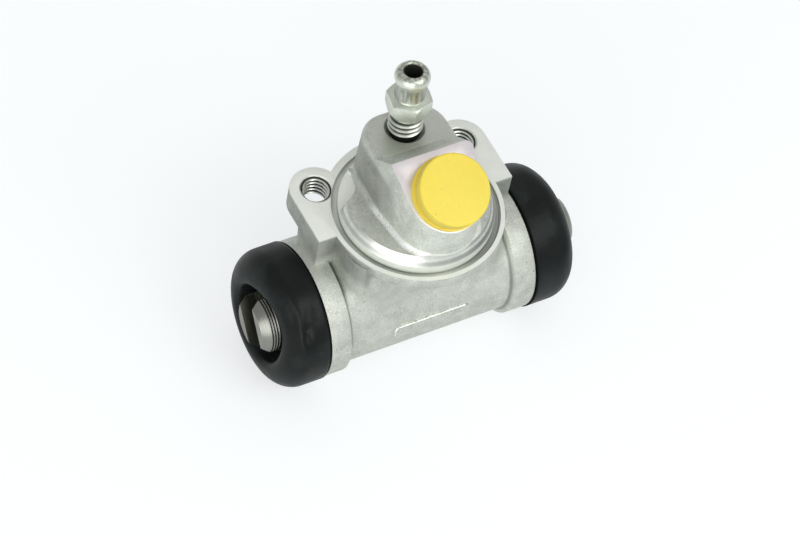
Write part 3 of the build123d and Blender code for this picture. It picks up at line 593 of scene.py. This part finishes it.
def plated_material(settings):
    """Zinc plating with painted shade in the thread roots, in the drilled bore and between hex and bead, and
    streaked painted reflections there and on the olive bead.
    """
    material, tree, shader, place = new_material("zinc_plate", settings.plate_colour, 0.3, 1.0)
    local = turned_about(tree, place, BLEED_FOOT, BLEED_AXIS)
    marks = group_node(tree, "lathe_marks", {"Vector": local, "Pitch": 0.22 * MM})
    grain = group_node(tree, "grain", {"Vector": place, "Size": 0.5 * MM})
    drawn_out = node(tree, "Mapping", {"Vector": local, "Scale": (1.0, 1.0, 0.16)}).outputs[0]
    # Painted reflection: noise drawn out along the screw's axis
    reflection_streaks = noise(tree, drawn_out, 0.6 * MM)
    plate = Vector(settings.plate_colour)
    across, along, height = node(tree, "SeparateXYZ", {0: local}).outputs
    radius = distance_from_zero(tree, across, along)
    base = mix(tree, grain["Tone"], plate * 0.85, plate * 1.1)
    # Painted shade: dark thread roots below the hex
    root = remap(tree, radius, SCREW_CORE_RADIUS + 0.32 * MM, SCREW_CORE_RADIUS + 0.05 * MM)
    below_hex = remap(tree, height, SCREW_HEX_FOOT + 0.2 * MM, SCREW_HEX_FOOT)
    base = overlay(tree, base, root, below_hex, plate * 0.12)
    above_hex = remap(tree, height, SCREW_HEX_TOP + 0.2 * MM, SCREW_HEX_TOP + 0.5 * MM)
    below_bead = remap(tree, height, SCREW_BEAD_FOOT, SCREW_BEAD_FOOT - 0.3 * MM)
    # Painted shade between hex and bead, with streaked painted reflections
    shaded_streaked_neck = mix(tree, remap(tree, reflection_streaks, 0.35, 0.65), plate * 0.4, plate * 0.75)
    base = overlay(tree, base, above_hex, below_bead, shaded_streaked_neck)
    # Olive tone of the bead, with streaked painted reflections
    olive_tone_and_streaks = mix(tree, remap(tree, reflection_streaks, 0.4, 0.6), settings.stain_colour, plate * 0.9)
    base = mix(tree, remap(tree, height, SCREW_BEAD_TOP - 1.5 * MM, SCREW_BEAD_TOP), base, olive_tone_and_streaks)
    # Painted shade: darker inside the drilled bore
    drilled = remap(tree, radius, SCREW_BORE_RADIUS + 0.1 * MM, SCREW_BORE_RADIUS)
    feed(tree, shader["Base Color"], mix(tree, drilled, base, plate * 0.35))
    feed(tree, shader["Roughness"], remap(tree, marks["Tone"], 0.0, 1.0, 0.46, 0.32))
    add_bump(tree, shader, marks["Height"], 0.03 * MM)
    return material


def piston_material(name, steel, roughness, settings):
    """Turned steel with lathe marks round the bore's axis."""
    material, tree, shader, place = new_material(name, steel, roughness, 1.0)
    local = turned_about(tree, place, BORE_CENTRE, Vector((1, 0, 0)))
    marks = group_node(tree, "lathe_marks", {"Vector": local, "Pitch": settings.mark_pitch})
    scuffs = group_node(tree, "scuffs", {"Vector": place, "Size": 0.3 * MM})
    base = mix(tree, marks["Tone"], steel * 0.7, steel * 1.12)
    feed(tree, shader["Base Color"], overlay(tree, base, scuffs["Scratch"], 0.5, steel * 0.5))
    add_bump(tree, shader, marks["Height"], 0.03 * MM)
    return material


def rubber_material(settings):
    """Moulded rubber with a dusty bloom, rubbed scratches and a painted shadow along its edge beside the collar.
    """
    material, tree, shader, place = new_material("boot_rubber", settings.rubber_colour, 0.36)
    grain = group_node(tree, "grain", {"Vector": place, "Size": 0.5 * MM})
    scuffs = group_node(tree, "scuffs", {"Vector": place, "Size": 0.45 * MM})
    bloom = noise(tree, place, 6 * MM, 3.0, 0.55)
    dust = remap(tree, bloom, 0.48, 0.72)
    base = overlay(tree, settings.rubber_colour, dust, settings.dust, settings.dust_colour)
    base = overlay(tree, base, scuffs["Scratch"], 0.35, settings.dust_colour)
    from_middle = maths(tree, "ABSOLUTE", node(tree, "SeparateXYZ", {0: place}).outputs[0])
    rim_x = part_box("right_dust_boot")[0].x
    # Painted shadow: black along the boot's edge beside the collar
    painted_collar_shadow = remap(tree, from_middle, rim_x + 0.6 * MM, rim_x + 0.3 * MM)
    feed(tree, shader["Base Color"], mix(tree, painted_collar_shadow, base, (0.0, 0.0, 0.0)))
    shader["Specular IOR Level"].default_value = settings.sheen
    satin = remap(tree, bloom, 0.35, 0.65, 0.34, 0.5)
    feed(tree, shader["Roughness"], maths(tree, "MAXIMUM", satin, painted_collar_shadow))
    add_bump(tree, shader, grain["Height"], 0.04 * MM)
    return material


def plug_material(settings):
    """Soft moulded plastic with a faint mottle and a few specks."""
    material, tree, shader, place = new_material("plug_plastic", settings.plug_colour, 0.42)
    grain = group_node(tree, "grain", {"Vector": place, "Size": 1.1 * MM})
    scuffs = group_node(tree, "scuffs", {"Vector": place, "Size": 0.4 * MM})
    plastic = Vector(settings.plug_colour)
    base = mix(tree, grain["Tone"], plastic * 0.97, plastic * 1.02)
    feed(tree, shader["Base Color"], overlay(tree, base, scuffs["Knock"], 0.45, plastic * 0.5))
    shader["Subsurface Weight"].default_value = 0.25
    shader["Subsurface Scale"].default_value = MM
    add_bump(tree, shader, grain["Height"], 0.01 * MM)
    return material


def inner_material(name, base, roughness, metallic):
    """Finish of a piece inside the bore."""
    material, tree, shader, place = new_material(name, base, roughness, metallic)
    grain = group_node(tree, "grain", {"Vector": place, "Size": 0.6 * MM})
    tone = Vector(base)
    feed(tree, shader["Base Color"], mix(tree, grain["Tone"], tone * 0.85, tone * 1.1))
    add_bump(tree, shader, grain["Height"], 0.02 * MM)
    return material


def copy_of_node(node_name):
    """Mesh of a CAD node with its doubles merged and its flat faces joined."""
    mesh = bmesh.new()
    mesh.from_mesh(frame["nodes"][node_name].data)
    bmesh.ops.remove_doubles(mesh, verts=mesh.verts, dist=0.000002)
    bmesh.ops.dissolve_limit(
        mesh, angle_limit=math.radians(0.6), verts=mesh.verts, edges=mesh.edges, delimit={"NORMAL"}
    )
    return mesh


def round_edges(mesh, width, sharp_angle=30.0, segments=2, finish=-1):
    """Small rounds on every edge sharper than the angle, in their own finish if one is given."""
    sharp = [
        edge
        for edge in mesh.edges
        if edge.is_manifold and edge.calc_face_angle(0.0) > math.radians(sharp_angle)
    ]
    bmesh.ops.bevel(
        mesh,
        geom=sharp,
        offset=width,
        offset_type="OFFSET",
        affect="EDGES",
        segments=segments,
        profile=0.5,
        material=finish,
        clamp_overlap=True,
    )


def finish_piece(mesh, name, body, materials, replaced=(), sharp_angle=32.0):
    """Turn a bmesh into a named object; it rides on its body unless that is left out."""
    data = bpy.data.meshes.new(name)
    mesh.to_mesh(data)
    mesh.free()
    for material in materials:
        data.materials.append(material)
    data.polygons.foreach_set("use_smooth", [True] * len(data.polygons))
    data.set_sharp_from_angle(angle=math.radians(sharp_angle))
    piece = bpy.data.objects.new(name, data)
    bpy.context.scene.collection.objects.link(piece)
    if body:
        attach(piece, body)
    if replaced:
        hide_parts(*replaced)
    return piece


def casting_finish(face):
    """Which of the casting's finishes a face gets."""
    centre = face.calc_center_median()
    normal = face.normal
    level = normal.z > 0.99
    radius = math.hypot(centre.x, centre.y)
    from_hole = math.hypot(abs(centre.x) - HOLE_CENTRE_X, centre.y - HOLE_CENTRE.y)
    from_bore = math.hypot(centre.y, centre.z - BORE_CENTRE.z)
    from_port = abs((centre - PORT_FOOT).dot(PORT_AXIS))
    if normal.dot(PORT_AXIS) > 0.999 and from_port < SURFACE_GAP:
        return PORT
    if level and min(abs(centre.z), abs(centre.z - GROOVE_FLOOR)) < SURFACE_GAP:
        return TURNED
    in_ring = PILOT_RADIUS - PILOT_CONE_WIDTH < radius < PAD_RADIUS
    if in_ring and -MM < centre.z < SLAB_TOP - SURFACE_GAP:
        return TURNED
    if from_hole < HOLE_RADIUS + HOLE_CHAMFER and centre.z > EAR_THREAD_START:
        return TURNED if normal.z > 0.5 else TAPPED
    if level and from_hole < SPOT_FACE_RADIUS and 0 < centre.z < MM:
        return TURNED
    if from_bore < BORE_RADIUS + BORE_CHAMFER:
        return TURNED
    beside_bar = max(abs(centre.x) - BAR_HALF_LENGTH, abs(centre.z - BORE_CENTRE.z) - BAR_HALF_WIDTH)
    above_barrel = from_bore - BARREL_RADIUS
    # Painted highlight: the raised bar's faces get the bright edge finish
    if beside_bar < 0 and centre.y < BAR_BACK_Y and SURFACE_GAP < above_barrel < BAR_HEIGHT:
        return WORN_AND_HIGHLIT
    on_ramp = centre.y < RIDGE_Y + 4 * MM and normal.z > 0.6 and abs(normal.x) < 0.02
    if centre.y > RIDGE_Y and centre.z > REAR_TOP_LOW and (on_ramp or level):
        return TOP
    return CAST


def helix_thread(name, foot, axis, root, crest, pitch, start, end, body, material):
    """Thread ridge wound round an axis; its root radius lies just inside the wall it grows from."""
    mesh = bmesh.new()
    steps_per_turn = 40
    turns = (end - start) / pitch
    section = [(root, -0.42), (crest, -0.06), (crest, 0.06), (root, 0.42)]
    corners = [mesh.verts.new((radius, 0, start + part * pitch)) for radius, part in section]
    face = mesh.faces.new(corners)
    steps = round(turns * steps_per_turn)
    bmesh.ops.spin(
        mesh,
        geom=[face, *face.edges, *face.verts],
        cent=(0, 0, 0),
        axis=(0, 0, 1),
        dvec=(0, 0, pitch / steps_per_turn),
        angle=TAU * turns,
        steps=steps,
        use_merge=False,
        use_duplicate=False,
    )
    bmesh.ops.holes_fill(mesh, edges=mesh.edges, sides=len(section))
    bmesh.ops.recalc_face_normals(mesh, faces=mesh.faces)
    turn = Vector((0, 0, 1)).rotation_difference(axis).to_matrix().to_4x4()
    bmesh.ops.transform(mesh, matrix=Matrix.Translation(foot) @ turn, verts=mesh.verts)
    return finish_piece(mesh, name, body, [material])


def edge_arc(centre, radius, start, end, count):
    """Points on an arc in the plane of bore axis and radius, angles in degrees."""
    points = []
    for step in range(count + 1):
        angle = math.radians(start + (end - start) * step / count)
        points.append((centre[0] + radius * math.cos(angle), centre[1] + radius * math.sin(angle)))
    return points


def straight(start, end, count):
    """Points after the start, evenly up to the end."""
    points = []
    for step in range(1, count + 1):
        part = step / count
        points.append((start[0] + (end[0] - start[0]) * part, start[1] + (end[1] - start[1]) * part))
    return points


def boot_section(settings, start, front, outer, lip_centre):
    """Closed outline of the boot's wall as (distance along the bore, radius) points."""
    wall = settings.wall
    roll = settings.roll_radius
    fold = settings.fold_radius
    crest = outer - roll
    mouth = crest - fold
    edge = 0.3 * MM
    lip_start = lip_centre - settings.lip_length / 2
    lip_end = lip_centre + settings.lip_length / 2
    inner_front = front - wall
    points = [(start, outer - edge), (start + edge, outer)]
    points += straight(points[-1], (front - roll, outer), 6)[:-1]
    points += edge_arc((front - roll, crest), roll, 90, 0, 12)
    points += edge_arc((front - fold, crest), fold, 0, -90, 5)[1:]
    points += straight((front - fold, mouth), (lip_end, settings.funnel_radius), 4)
    points += [(lip_end, settings.lip_radius), (lip_start, settings.lip_radius)]
    points += [(lip_start, settings.funnel_radius + wall / 3)]
    points += straight(points[-1], (inner_front - fold, mouth + wall), 3)
    points += edge_arc((front - roll, crest), roll - wall, 0, 90, 8)
    points += [(STUB_END, outer - wall), (STUB_END, STUB_RADIUS), (start, STUB_RADIUS)]
    return points


def dented(mesh, side, dents, pushes, depth):
    """Press the rubber in at each dent, and set its rolled front back at each push."""
    for vert in mesh.verts:
        distance = side * vert.co.x
        angle = math.degrees(math.atan2(vert.co.z - BORE_CENTRE.z, -vert.co.y))
        inwards = 0.0
        for place, direction, length_mm, angle_width, amount in dents:
            along = (distance - place * MM) / (length_mm * MM)
            round_bore = (angle - direction) / angle_width
            inwards += amount * depth * math.exp(-along * along - round_bore * round_bore)
        back = 0.0
        for start, end, direction, angle_width, push in pushes:
            reach = min(1.0, max(0.0, (distance - start * MM) / ((end - start) * MM)))
            round_bore = (angle - direction) / angle_width
            back += push * MM * reach * reach * (3 - 2 * reach) * math.exp(-round_bore * round_bore)
        radial = Vector((0, vert.co.y, vert.co.z - BORE_CENTRE.z))
        vert.co -= radial.normalized() * inwards
        vert.co.x -= side * back


def make_boot(name, side, settings, material, dents, pushes):
    """Boot turned about the bore, between its stub and its piston's groove."""
    low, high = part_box(name + "_dust_boot")
    start = min(abs(low.x), abs(high.x))
    front = max(abs(low.x), abs(high.x))
    outer = (high.z - low.z) / 2
    piston_low, piston_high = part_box(name + "_piston")
    lip_centre = max(abs(piston_low.x), abs(piston_high.x)) - LIP_SETBACK
    mesh = bmesh.new()
    section = boot_section(settings, start, front, outer, lip_centre)
    corners = [mesh.verts.new((side * along, 0, BORE_CENTRE.z + radius)) for along, radius in section]
    edges = [mesh.edges.new((corners[index - 1], corner)) for index, corner in enumerate(corners)]
    bmesh.ops.spin(
        mesh,
        geom=[*corners, *edges],
        cent=BORE_CENTRE,
        axis=(1, 0, 0),
        dvec=(0, 0, 0),
        angle=TAU,
        steps=112,
        use_merge=True,
        use_duplicate=False,
    )
    bmesh.ops.recalc_face_normals(mesh, faces=mesh.faces)
    dented(mesh, side, dents, pushes, settings.dent_depth)
    node_name = name + "_dust_boot"
    piece = finish_piece(mesh, name + "_boot", None, [material], (node_name,), 50.0)
    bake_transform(piece)
    return piece


class WHEELCYL_OT_casting(bpy.types.Operator):
    """Dress the aluminium casting"""

    bl_idname = "wheelcyl.casting"
    bl_label = "Casting"

    def execute(self, context):
        settings = context.scene.wheelcyl_casting
        mesh = copy_of_node("cylinder_body")
        for face in mesh.faces:
            face.material_index = casting_finish(face)
        # The rounded edges get the bright edge finish: partly wear, partly a painted highlight
        round_edges(mesh, settings.edge_radius, finish=WORN_AND_HIGHLIT)
        materials = [
            cast_material(settings),
            turned_material(settings),
            port_material(settings),
            top_material(settings),
            worn_and_highlit_edge_material(settings),
            tapped_material(settings),
        ]
        finish_piece(mesh, "body_casting", "cylinder", materials, ("cylinder_body",))
        return {"FINISHED"}


class WHEELCYL_OT_mounting_threads(bpy.types.Operator):
    """Cut the threads of the two mounting holes"""

    bl_idname = "wheelcyl.mounting_threads"
    bl_label = "Mounting threads"

    def execute(self, context):
        settings = context.scene.wheelcyl_threads
        material = bpy.data.materials["tapped_hole"]
        root = HOLE_RADIUS + EAR_THREAD_SINK
        for name, side in (("left", -1), ("right", 1)):
            helix_thread(
                name + "_mounting_thread",
                HOLE_CENTRE + Vector((side * HOLE_CENTRE_X, 0, 0)),
                Vector((0, 0, 1)),
                root,
                root - settings.mount_depth,
                settings.mount_pitch,
                EAR_THREAD_START,
                EAR_THREAD_END,
                "cylinder",
                material,
            )
        return {"FINISHED"}


class WHEELCYL_OT_bleed_screw(bpy.types.Operator):
    """Dress the bleed screw and wind its thread"""

    bl_idname = "wheelcyl.bleed_screw"
    bl_label = "Bleed screw"

    def execute(self, context):
        settings = context.scene.wheelcyl_screw
        threads = context.scene.wheelcyl_threads
        material = plated_material(settings)
        mesh = copy_of_node("bleed_screw")
        round_edges(mesh, settings.edge_radius)
        replaced = ("bleed_screw",)
        finish_piece(mesh, "bleed_screw_body", "bleed_screw_group", [material], replaced)
        root = SCREW_CORE_RADIUS - SCREW_THREAD_SINK
        helix_thread(
            "bleed_screw_thread",
            BLEED_FOOT,
            BLEED_AXIS,
            root,
            root + threads.bleed_depth,
            threads.bleed_pitch,
            SCREW_THREAD_START,
            SCREW_THREAD_END,
            "bleed_screw_group",
            material,
        )
        return {"FINISHED"}


class WHEELCYL_OT_port_plug(bpy.types.Operator):
    """Dress the transit plug"""

    bl_idname = "wheelcyl.port_plug"
    bl_label = "Port plug"

    def execute(self, context):
        settings = context.scene.wheelcyl_plug
        mesh = copy_of_node("port_plug")
        round_edges(mesh, settings.edge_radius)
        material = plug_material(settings)
        finish_piece(mesh, "plug_body", "port_plug_group", [material], ("port_plug",))
        return {"FINISHED"}


class WHEELCYL_OT_pistons(bpy.types.Operator):
    """Dress the two pistons"""

    bl_idname = "wheelcyl.pistons"
    bl_label = "Pistons"

    def execute(self, context):
        settings = context.scene.wheelcyl_pistons
        steel = piston_material("turned_steel", Vector(settings.steel_colour), 0.3, settings)
        # Painted shade: the slot's faces get the dark slot colour
        slot = piston_material("piston_slot", Vector(settings.slot_shade_colour), 0.45, settings)
        for name in ("left", "right"):
            low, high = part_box(name + "_piston")
            tip = max(abs(low.x), abs(high.x))
            mesh = copy_of_node(name + "_piston")
            for face in mesh.faces:
                centre = face.calc_center_median()
                from_bore = math.hypot(centre.y, centre.z - BORE_CENTRE.z)
                near_tip = abs(centre.x) > tip - PISTON_SLOT_DEPTH
                flat_side = abs(face.normal.x) < 0.01 and from_bore < PISTON_SLOT_REACH
                floor = abs(face.normal.x) > 0.99 and abs(centre.x) < tip - MM and from_bore < MM
                face.material_index = 1 if near_tip and (flat_side or floor) else 0
            round_edges(mesh, settings.edge_radius)
            finish_piece(
                mesh,
                name + "_piston_body",
                name + "_piston_group",
                [steel, slot],
                (name + "_piston",),
            )
        return {"FINISHED"}


class WHEELCYL_OT_boots(bpy.types.Operator):
    """Turn the two dust boots"""

    bl_idname = "wheelcyl.boots"
    bl_label = "Dust boots"

    def execute(self, context):
        settings = context.scene.wheelcyl_boots
        material = rubber_material(settings)
        make_boot("left", -1, settings, material, LEFT_DENTS, LEFT_PUSHES)
        make_boot("right", 1, settings, material, RIGHT_DENTS, RIGHT_PUSHES)
        return {"FINISHED"}


class WHEELCYL_OT_inner_pieces(bpy.types.Operator):
    """Give the pieces inside the bore their finishes"""

    bl_idname = "wheelcyl.inner_pieces"
    bl_label = "Inner pieces"

    def execute(self, context):
        settings = context.scene.wheelcyl_inner
        cup = inner_material("cup_rubber", settings.cup_colour, 0.5, 0.0)
        sheet = inner_material("pressed_sheet", settings.sheet_colour, 0.35, 1.0)
        finishes = {
            "left_cup_seal": cup,
            "right_cup_seal": cup,
            "left_cup_expander": sheet,
            "right_cup_expander": sheet,
        }
        for name, material in finishes.items():
            dressed = frame["nodes"][name]
            dressed.data.materials.clear()
            dressed.data.materials.append(material)
        return {"FINISHED"}


class WHEELCYL_OT_return_spring(bpy.types.Operator):
    """Dress the return spring in two halves, cut at its middle"""

    bl_idname = "wheelcyl.return_spring"
    bl_label = "Return spring"

    def execute(self, context):
        settings = context.scene.wheelcyl_inner
        wire = inner_material("spring_wire", settings.spring_colour, 0.35, 1.0)
        low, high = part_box("return_spring")
        for name, side, end_x in (("left", -1, low.x), ("right", 1, high.x)):
            mesh = copy_of_node("return_spring")
            everything = [*mesh.verts, *mesh.edges, *mesh.faces]
            bmesh.ops.bisect_plane(mesh, geom=everything, plane_no=(side, 0, 0), clear_inner=True)
            bmesh.ops.holes_fill(mesh, edges=mesh.edges, sides=0)
            replaced = ("return_spring",)
            half = finish_piece(mesh, name + "_spring_half", None, [wire], replaced)
            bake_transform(half)
        return {"FINISHED"}


class WHEELCYL_OT_stage(bpy.types.Operator):
    """Set the floor, the lights and the camera"""

    bl_idname = "wheelcyl.stage"
    bl_label = "Stage"

    def execute(self, context):
        settings = context.scene.wheelcyl_stage
        make_floor(settings)
        make_lights(settings)
        make_camera(settings)
        return {"FINISHED"}


def make_floor(settings):
    """Wide pale floor just under the boots."""
    floor_mesh = bmesh.new()
    bmesh.ops.create_grid(floor_mesh, x_segments=1, y_segments=1, size=3.0)
    bmesh.ops.translate(floor_mesh, verts=floor_mesh.verts, vec=(0, 0, cad_box[0].z))
    data = bpy.data.meshes.new("floor")
    floor_mesh.to_mesh(data)
    floor_mesh.free()
    material = bpy.data.materials.new("floor")
    material.use_nodes = True
    tree = material.node_tree
    shader = tree.nodes["Principled BSDF"]
    shader.inputs["Base Color"].default_value = (*settings.floor_colour, 1.0)
    shader.inputs["Roughness"].default_value = 0.9
    rays = node(tree, "LightPath").outputs
    seen = maths(tree, "MULTIPLY", rays["Is Camera Ray"], settings.floor_glow)
    mirrored = maths(tree, "MULTIPLY", rays["Is Glossy Ray"], settings.floor_shine)
    feed(tree, shader.inputs["Emission Strength"], maths(tree, "ADD", seen, mirrored))
    shader.inputs["Emission Color"].default_value = (1.0, 1.0, 1.0, 1.0)
    data.materials.append(material)
    floor = bpy.data.objects.new("floor", data)
    bpy.context.scene.collection.objects.link(floor)


def area_light(name, place, size, power):
    """Square soft light that faces the bore's centre."""
    light = bpy.data.lights.new(name, "AREA")
    light.shape = "SQUARE"
    light.size = size
    light.energy = power
    lamp = bpy.data.objects.new(name, light)
    lamp.location = place
    lamp.rotation_mode = "QUATERNION"
    lamp.rotation_quaternion = (BORE_CENTRE - Vector(place)).to_track_quat("-Z", "Y")
    bpy.context.scene.collection.objects.link(lamp)


def make_lights(settings):
    area_light("key_light", (0.25, -0.5, 0.55), 0.5, settings.key_strength)
    area_light("side_light", (-0.6, -0.55, 0.15), 0.9, settings.side_strength)
    area_light("back_light", (0.3, 0.4, 0.65), 0.6, settings.back_strength)
    world = bpy.data.worlds.new("studio")
    world.use_nodes = True
    background = world.node_tree.nodes["Background"]
    background.inputs["Color"].default_value = (0.97, 0.98, 1.0, 1.0)
    background.inputs["Strength"].default_value = settings.sky_strength
    bpy.context.scene.world = world


def make_camera(settings):
    """Camera at the photograph's viewing angle, placed from the bore's centre."""
    level_right = Vector((math.cos(settings.azimuth), math.sin(settings.azimuth), 0))
    level_back = Vector((math.sin(settings.azimuth), -math.cos(settings.azimuth), 0))
    back = level_back * math.cos(settings.elevation) + Vector((0, 0, math.sin(settings.elevation)))
    level_up = back.cross(level_right)
    right = level_right * math.cos(settings.roll) + level_up * math.sin(settings.roll)
    up = level_up * math.cos(settings.roll) - level_right * math.sin(settings.roll)
    place = BORE_CENTRE - settings.slide_right * right - settings.slide_up * up + settings.distance * back
    data = bpy.data.cameras.new("photo_camera")
    data.lens = settings.focal_length
    data.sensor_width = 36.0
    data.clip_start = 0.05
    data.clip_end = 20.0
    camera = bpy.data.objects.new("photo_camera", data)
    turn = Matrix((right, up, back)).transposed().to_4x4()
    camera.matrix_world = Matrix.Translation(place) @ turn
    bpy.context.scene.collection.objects.link(camera)
    bpy.context.scene.camera = camera
    bpy.context.scene.view_settings.view_transform = "Standard"


class WHEELCYL_PT_parts(bpy.types.Panel):
    """Buttons of the wheel cylinder"""

    bl_idname = "WHEELCYL_PT_parts"
    bl_label = "Wheel cylinder"
    bl_space_type = "VIEW_3D"
    bl_region_type = "UI"
    bl_category = "Wheel cylinder"

    def draw(self, context):
        for operator in PIECE_OPERATORS:
            self.layout.operator(operator.bl_idname)


SETTINGS = {
    "wheelcyl_casting": CastingSettings,
    "wheelcyl_threads": ThreadSettings,
    "wheelcyl_screw": ScrewSettings,
    "wheelcyl_plug": PlugSettings,
    "wheelcyl_pistons": PistonSettings,
    "wheelcyl_boots": BootSettings,
    "wheelcyl_inner": InnerSettings,
    "wheelcyl_stage": StageSettings,
}
PIECE_OPERATORS = (
    WHEELCYL_OT_casting,
    WHEELCYL_OT_mounting_threads,
    WHEELCYL_OT_bleed_screw,
    WHEELCYL_OT_port_plug,
    WHEELCYL_OT_pistons,
    WHEELCYL_OT_boots,
    WHEELCYL_OT_inner_pieces,
    WHEELCYL_OT_return_spring,
    WHEELCYL_OT_stage,
)
CLASSES = (*SETTINGS.values(), *PIECE_OPERATORS, WHEELCYL_PT_parts)


def register():
    for cls in CLASSES:
        bpy.utils.register_class(cls)
    for name, group in SETTINGS.items():
        setattr(bpy.types.Scene, name, PointerProperty(type=group))


def unregister():
    for name in SETTINGS:
        delattr(bpy.types.Scene, name)
    for cls in reversed(CLASSES):
        bpy.utils.unregister_class(cls)


def main():
    register()
    for operator in PIECE_OPERATORS:
        category, name = operator.bl_idname.split(".")
        getattr(getattr(bpy.ops, category), name)()


if __name__ == "__main__":
    main()
